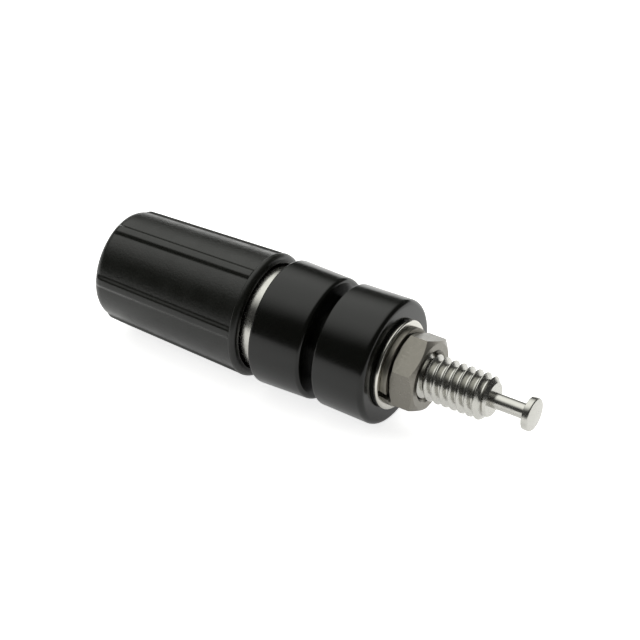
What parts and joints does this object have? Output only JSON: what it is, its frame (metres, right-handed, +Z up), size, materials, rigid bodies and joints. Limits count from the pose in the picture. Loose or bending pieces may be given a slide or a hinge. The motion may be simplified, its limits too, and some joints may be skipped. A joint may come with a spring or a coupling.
{
  "type": "binding post",
  "caption": "Panel-mount binding post: fluted screw cap over a plug socket and wire hole, two shouldered insulators, washers, a nut and a turret-ended threaded stud.",
  "frame": {"origin": "centre of the post at the panel seat, which is the front insulator's rear face", "axes": "+X along the post, out of the panel's back towards the solder turret; the cap points to -X; +Z up"},
  "size_m": [0.0428, 0.0116, 0.0116],
  "materials": {
    "cap_plastic": "fine moulded grain, satin",
    "insulator_plastic": "smooth moulded, glossy",
    "plated_brass": "bright nickel plate over turned brass",
    "nut_metal": "satin nickel plate",
    "washer_metal": "bright plated, stamped",
    "spring_steel": "plated spring steel"
  },
  "bodies": {
    "post": {"stud": "plated_brass", "front_insulator": "insulator_plastic"},
    "cap_carrier": {"cap_bushing": "plated_brass"},
    "knob": {"cap": "cap_plastic"},
    "clamp_stack": {"rear_insulator": "insulator_plastic", "flat_washer": "washer_metal", "lock_washer": "spring_steel"},
    "hex_nut": {"nut": "nut_metal"}
  },
  "joints": [
    {"name": "cap_travel", "type": "slide", "parent": "post", "child": "cap_carrier", "axis": [-1, 0, 0], "range_m": [0, 0.00446]},
    {"name": "cap_turn", "type": "hinge", "parent": "cap_carrier", "child": "knob", "pos_m": [-0.014, 0, 0], "axis": [-1, 0, 0], "range_deg": [0, 1770]},
    {"name": "stack_travel", "type": "slide", "parent": "post", "child": "clamp_stack", "axis": [1, 0, 0], "range_m": [-0.00123, 0.00549]},
    {"name": "nut_turn", "type": "hinge", "parent": "clamp_stack", "child": "hex_nut", "pos_m": [0.00884, 0, 0], "axis": [1, 0, 0], "range_deg": [-560, 2490]}
  ],
  "couplings": [
    {"joint": "cap_turn", "follows": "cap_travel", "rad_per_m": 6926.4},
    {"joint": "nut_turn", "follows": "stack_travel", "rad_per_m": 7915.8}
  ]
}
